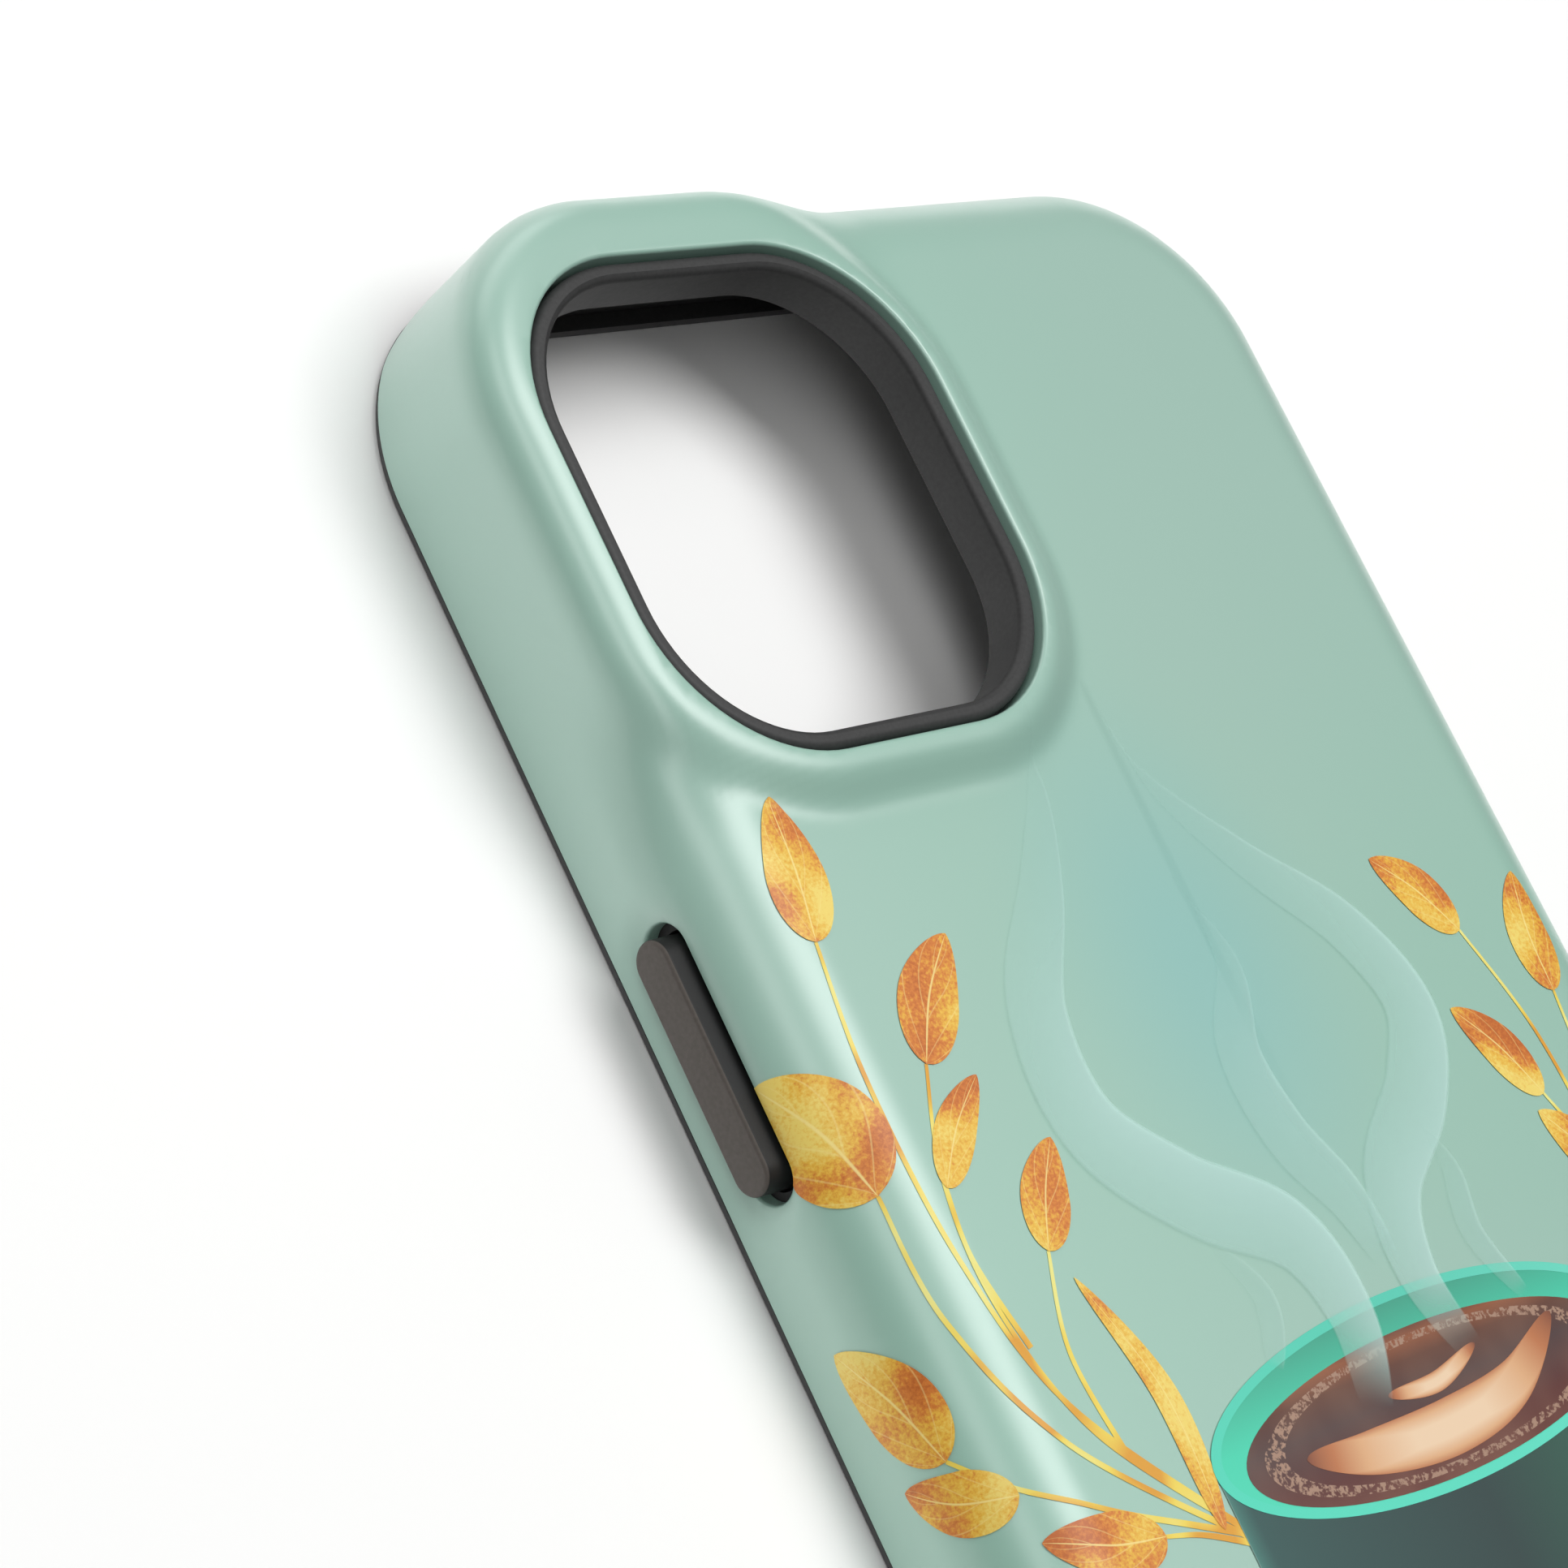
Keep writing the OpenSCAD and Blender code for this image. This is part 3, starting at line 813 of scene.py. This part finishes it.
def cup_side(u, v):
    """The cup's body, from its rim's front edge down to its rounded foot, its columns spread by angle."""
    down = (1 - v) / 2
    narrowing = smooth((down - waist_at) / (1 - waist_at)) ** waist_curve
    taper = 1 - (1 - foot_half_w / rim_half_w) * narrowing
    curve = math.cos(u * math.pi / 2)
    top = cup_y - rim_half_h * curve * rim_overlap
    foot = cup_foot_y - foot_bow * rim_half_h * curve
    return (rim_half_w - tuck) * math.sin(u * math.pi / 2) * taper, top + (foot - top) * down


def stroke(points, half):
    """A brush stroke along a curve, full in its middle and thin at both ends."""
    return ribbon(points, lambda s: stroke_end + half * math.sin(math.pi * s) ** stroke_fullness)


def printed(name, *films):
    """A piece of printed ink from films given as (columns, rows, place, lift in ink layers)."""
    bm = bmesh.new()
    for columns, rows, place, layers in films:
        film(bm, columns, rows, place, layers * ink)
    bmesh.ops.remove_doubles(bm, verts=bm.verts, dist=0.002 * MM)
    return add_piece(name, bm)


handle_line = [(20.5, -20.0), (27.0, -19.5), (30.0, -25.0), (27.5, -32.5), (19.0, -37.0)]
milk_line = [(-14.0, -14.2), (-8.0, -15.4), (0.0, -15.8), (7.5, -14.8), (14.0, -11.6)]
drop_line = [(-4.5, -12.6), (0.5, -12.9), (5.5, -11.6)]
rim = ring_place(rim_half_w, rim_half_h, rim_half_w - rim_band, rim_half_h - rim_band * band_tilt)
inside = ring_place(rim_half_w - tuck, rim_half_h - tuck, 0, 0)
surface_of_coffee = ring_place(coffee_half_w, coffee_half_h, 0, 0, coffee_drop)
cup_body = printed("printed_cup_body", (60, 30, cup_side, 2.2))
cup_handle = printed("printed_cup_handle", (4, 40, ribbon(handle_line, lambda s: handle_half), 1.4))
cup_rim = printed("printed_cup_rim", (120, 3, rim, 3.0))
cup_inside = printed("printed_cup_inside", (96, 10, inside, 2.6))
coffee = printed("printed_coffee", (96, 14, surface_of_coffee, 3.0))
milk = printed("printed_milk", (12, 60, stroke(milk_line, milk_half), 3.5),
               (8, 30, stroke(drop_line, drop_half), 3.5))

froth_size = 0.45 * MM
swirl_size = 6.0 * MM
froth_at = 0.86
froth_half = 0.05
froth_brown = "#A4836F"


def cup_ink(stops):
    """Ink that shades across a printed piece, from edge to edge."""
    def surface(tree, where):
        apart = node(tree, "ShaderNodeSeparateXYZ", {"Vector": where.outputs["UV"]})
        shaded = node(tree, "ShaderNodeValToRGB", {"Fac": apart.outputs["X"]}, stops=stops)
        return {"Base Color": shaded.outputs["Color"]}
    return surface


def across_mouth(tree, where, stops):
    """Colours over the cup's mouth, from its front edge to its back edge."""
    apart = node(tree, "ShaderNodeSeparateXYZ", {"Vector": where.outputs["Object"]})
    depth = node(tree, "ShaderNodeMapRange", {"Value": apart.outputs["Y"],
                                              "From Min": (cup_y - rim_half_h) * MM,
                                              "From Max": (cup_y + rim_half_h) * MM})
    return node(tree, "ShaderNodeValToRGB", {"Fac": depth.outputs["Result"]}, stops=stops).outputs["Color"]


def inside_ink(tree, where):
    """The inner wall of the cup: turquoise that is shaded towards the back, where the coffee meets it."""
    stops = [(0.1, "#4FD6B6"), (0.55, "#45CFAC"), (0.95, "#3E9C83")]
    return {"Base Color": across_mouth(tree, where, stops)}


def coffee_ink(tree, where):
    """Dark roast: red-brown in front, nearly black in the middle, amber at the back, and a froth line."""
    uv = node(tree, "ShaderNodeSeparateXYZ", {"Vector": where.outputs["UV"]})
    froth = node(tree, "ShaderNodeTexNoise", {"Vector": where.outputs["Object"], "Scale": 1 / froth_size,
                                              "Detail": 2.0, "Roughness": 0.7})
    specks = node(tree, "ShaderNodeMapRange", {"Value": froth.outputs["Fac"], "From Min": 0.46,
                                               "From Max": 0.56})
    swirl = node(tree, "ShaderNodeTexNoise", {"Vector": where.outputs["Object"], "Scale": 1 / swirl_size,
                                              "Detail": 2.0})
    depth = across_mouth(tree, where, [(0.02, "#6E3F34"), (0.25, "#5A2C28"), (0.5, "#41383A"),
                                       (0.66, "#5B3626"), (0.76, "#94542E"), (0.82, "#5A2E22")])
    tone = node(tree, "ShaderNodeValToRGB", {"Fac": swirl.outputs["Fac"]},
                stops=[(0.35, "#5A302A"), (0.65, "#8A6453")])
    base = node(tree, "ShaderNodeMix", {0: 0.3, 6: depth, 7: tone.outputs["Color"]}, data_type="RGBA")
    line = node(tree, "ShaderNodeMath", {0: uv.outputs["Y"], 1: froth_at, 2: froth_half},
                operation="COMPARE")
    frothy = node(tree, "ShaderNodeMath", {0: line.outputs["Value"], 1: specks.outputs["Result"]},
                  operation="MULTIPLY")
    mixed = node(tree, "ShaderNodeMix", {0: frothy.outputs["Value"], 6: base.outputs[2],
                                         7: colour(froth_brown)}, data_type="RGBA")
    return {"Base Color": mixed.outputs[2]}


def milk_ink(tree, where):
    """Cream milk that turns amber at its edges and towards both ends."""
    uv = node(tree, "ShaderNodeSeparateXYZ", {"Vector": where.outputs["UV"]})
    ends = []
    for axis, weight in (("X", 0.75), ("Y", 1.0)):
        off = node(tree, "ShaderNodeMath", {0: uv.outputs[axis], 1: 0.5}, operation="SUBTRACT")
        off = node(tree, "ShaderNodeMath", {0: off.outputs["Value"]}, operation="ABSOLUTE")
        ends.append(node(tree, "ShaderNodeMath", {0: off.outputs["Value"], 1: weight},
                         operation="MULTIPLY"))
    both = node(tree, "ShaderNodeMath", {0: ends[0].outputs["Value"], 1: ends[1].outputs["Value"]},
                operation="MAXIMUM")
    cream = node(tree, "ShaderNodeValToRGB", {"Fac": both.outputs["Value"]},
                 stops=[(0.12, "#E8CBAA"), (0.28, "#D9A97E"), (0.38, "#B9744A"), (0.5, "#7A4430")])
    return {"Base Color": cream.outputs["Color"]}


body_stops = [(0.0, "#8FACA3"), (0.03, "#437A71"), (0.12, "#2C524F"), (0.5, "#293F3E"), (0.72, "#30604F"),
              (0.88, "#34BD98"), (1.0, "#3FD8AE")]
handle_stops = [(0.0, "#34B08F"), (0.3, "#3FD0A6"), (0.7, "#3FD0A6"), (1.0, "#3A7A6C")]
rim_stops = [(0.0, "#54C6AE"), (0.25, "#6FD9C2"), (0.3, "#C8EFE6"), (0.36, "#5FD9BF"), (0.7, "#4FD3B6"),
             (1.0, "#54C6AE")]
finish("slate_cup_ink", cup_body, cup_ink(body_stops), Roughness=0.42)
finish("turquoise_handle_ink", cup_handle, cup_ink(handle_stops), Roughness=0.42)
finish("turquoise_rim_ink", cup_rim, cup_ink(rim_stops), Roughness=0.42)
finish("turquoise_inside_ink", cup_inside, inside_ink, Roughness=0.42)
finish("coffee_ink", coffee, coffee_ink, Roughness=0.4)
finish("milk_ink", milk, milk_ink, Roughness=0.42)
for print_layer in (cup_body, cup_handle, cup_rim, cup_inside, coffee, milk):
    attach(print_layer, "case")


# Printed steam. Five strands of thin white ink that rise from the cup towards the camera opening, laid
# over the cup's ink and each other.
steam_strands = [
    ([(-6.0, -13.0), (-4.2, -7.0), (-6.0, -1.0), (-13.0, 3.5), (-18.5, 9.5), (-18.0, 17.5), (-12.5, 25.0),
      (-8.5, 32.0), (-8.0, 38.0)], 3.0, 0.62),
    ([(5.0, -12.0), (3.5, -6.0), (5.5, 0.0), (12.0, 5.0), (15.5, 10.5), (13.0, 17.0), (7.0, 23.0),
      (1.5, 30.0), (0.0, 37.0)], 2.7, 0.58),
    ([(1.5, -5.0), (0.5, 0.0), (-2.0, 5.0), (-2.5, 11.0), (0.5, 17.0), (-1.0, 24.0)], 2.3, 0.36),
    ([(12.5, -10.0), (10.5, -5.0), (11.5, -0.5), (10.5, 3.0)], 1.1, 0.26),
    ([(-13.0, -8.5), (-11.0, -4.0), (-14.0, 1.0)], 1.0, 0.16)]
steam_pale = "#C9ECE5"
steam_lift = 4.5
strand_lift = 0.3
strand_end = 0.1
strand_fullness = 0.7
strand_start = 0.1


def steam_strand(points, half):
    """A strand along a curve, broad from its start and drawn out to a thin end."""
    def width(share):
        return strand_end + half * math.sin(math.pi * min(strand_start + share, 1.0)) ** strand_fullness
    return ribbon(points, width)


def steam_ink(strength):
    """Thin white ink, strongest along one side of a strand and gone at its ends."""
    def surface(tree, where):
        apart = node(tree, "ShaderNodeSeparateXYZ", {"Vector": where.outputs["UV"]})
        body = node(tree, "ShaderNodeMapRange", {"Value": apart.outputs["X"], "From Max": 1.0,
                                                 "To Min": 0.45 * strength, "To Max": strength})
        off = node(tree, "ShaderNodeMath", {0: apart.outputs["X"], 1: 0.5}, operation="SUBTRACT")
        off = node(tree, "ShaderNodeMath", {0: off.outputs["Value"]}, operation="ABSOLUTE")
        edge = node(tree, "ShaderNodeMapRange", {"Value": off.outputs["Value"], "From Min": 0.5,
                                                 "From Max": 0.45})
        start = node(tree, "ShaderNodeMapRange", {"Value": apart.outputs["Y"], "From Max": 0.12},
                     interpolation_type="SMOOTHSTEP")
        end = node(tree, "ShaderNodeMapRange", {"Value": apart.outputs["Y"], "From Min": 1.0,
                                                "From Max": 0.45}, interpolation_type="SMOOTHSTEP")
        alpha = body
        for part in (edge, start, end):
            alpha = node(tree, "ShaderNodeMath", {0: alpha.outputs[0], 1: part.outputs["Result"]},
                         operation="MULTIPLY")
        return {"Alpha": alpha.outputs["Value"]}
    return surface


for number, (points, half, strength) in enumerate(steam_strands, 1):
    bm = bmesh.new()
    film(bm, 8, 12 * (len(points) - 1), steam_strand(points, half),
         lift=(steam_lift + strand_lift * number) * ink)
    strand = add_piece(f"printed_steam_{number}", bm)
    finish(f"steam_ink_{number}", strand, steam_ink(strength), Base_Color=colour(steam_pale),
           Roughness=0.42)
    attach(strand, "case")


# Floor, lights and camera. A plain white table, a broad lamp overhead, a strip that draws the pale line
# along the side button's edge and a low lamp at the camera end. A glow from under the table, which
# throws no shadow, stands for the light that a white table sends back to the lower walls.
floor_half = 3.0
cloud_size = 1 / 3
bm = bmesh.new()
bmesh.ops.create_grid(bm, x_segments=2, y_segments=2, size=floor_half)
floor = add_piece("floor", bm)


def plain_white(tree, where):
    """A matt white table top with a trace of unevenness."""
    cloud = node(tree, "ShaderNodeTexNoise", {"Vector": where.outputs["Object"],
                                              "Scale": 1 / cloud_size})
    white = node(tree, "ShaderNodeValToRGB", {"Fac": cloud.outputs["Fac"]},
                 stops=[(0.3, "#F4F4F3"), (0.7, "#F7F7F6")])
    return {"Base Color": white.outputs["Color"]}


finish("white_table", floor, plain_white, Roughness=0.8)


def softbox(name, place, target, width, height, watts):
    """A soft rectangular lamp that faces a point. Its width runs along Y, and its height across that."""
    lamp = bpy.data.lights.new(name, "AREA")
    lamp.shape = "RECTANGLE"
    lamp.size, lamp.size_y, lamp.energy = width, height, watts
    light = bpy.data.objects.new(name, lamp)
    light.matrix_world = (Matrix.Translation(place)
                          @ (Vector(place) - Vector(target)).to_track_quat("Z", "Y").to_matrix().to_4x4())
    bpy.context.scene.collection.objects.link(light)


softbox("overhead", (0.24, 0.18, 0.91), (0, 0, 0), 0.9, 0.5, 8.0)
softbox("long_side", (-0.42, 0.12, 0.60), (0, 0.02, 0), 1.2, 0.2, 2.1)
softbox("table_glow", (-0.26, 0.05, -0.54), (0, 0.02, 0), 1.5, 0.3, 2.4)
softbox("far_end", (0.10, 0.90, 0.30), (0, 0.05, 0), 0.9, 0.3, 1.6)
floor.visible_shadow = False

# The room looks white past the table's edge, and is dim as a light.
room_light = 0.1
room_seen = 0.95
world = bpy.data.worlds.new("studio")
world.use_nodes = True
sight = node(world.node_tree, "ShaderNodeLightPath")
seen = node(world.node_tree, "ShaderNodeMapRange", {"Value": sight.outputs["Is Camera Ray"],
                                                    "To Min": room_light, "To Max": room_seen})
backdrop = world.node_tree.nodes["Background"]
backdrop.inputs["Color"].default_value = colour("#FFFFFF")
world.node_tree.links.new(seen.outputs["Result"], backdrop.inputs["Strength"])
bpy.context.scene.world = world
bpy.context.scene.view_settings.view_transform = "Standard"

# The camera looks down over the side button's corner, a little rolled.
camera_place = Vector((-0.2086, -0.0232, 0.1824))
camera_right = Vector((0.6948, -0.4212, 0.5830))
camera_up = Vector((0.1497, 0.8775, 0.4556))
lens = bpy.data.cameras.new("camera")
lens.lens = 96.4
lens.sensor_width = 36.0
lens.clip_start = 0.01
camera = bpy.data.objects.new("camera", lens)
camera_back = camera_right.cross(camera_up).normalized()
turned = Matrix((camera_right, camera_back.cross(camera_right), camera_back)).transposed()
camera.matrix_world = Matrix.Translation(camera_place) @ turned.to_4x4()
bpy.context.scene.collection.objects.link(camera)
bpy.context.scene.camera = camera
